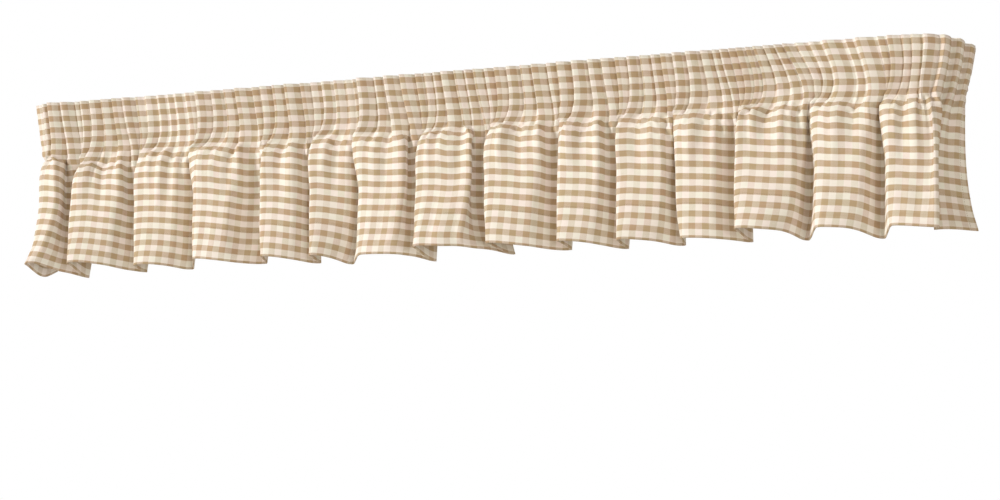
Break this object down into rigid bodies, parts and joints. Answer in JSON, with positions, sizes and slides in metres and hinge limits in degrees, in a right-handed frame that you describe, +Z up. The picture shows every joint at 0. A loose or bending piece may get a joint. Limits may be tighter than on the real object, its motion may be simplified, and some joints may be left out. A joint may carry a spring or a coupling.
{
  "type": "window valance",
  "caption": "Gathered window valance: a pencil-pleated heading that turns back at both ends, over a full skirt of uneven folds with a turned-up hem.",
  "frame": {"origin": "The middle of the heading's top edge, on the line that the edge hangs from.", "axes": "+X runs along the top edge, to the right as seen from the front. The front faces -Y. +Z is up."},
  "size_m": [1.4668, 0.1349, 0.2597],
  "materials": {
    "check_cotton": "plain-woven check cotton, matt"
  },
  "bodies": {
    "root": {"valance_cloth": "check_cotton"}
  },
  "joints": []
}
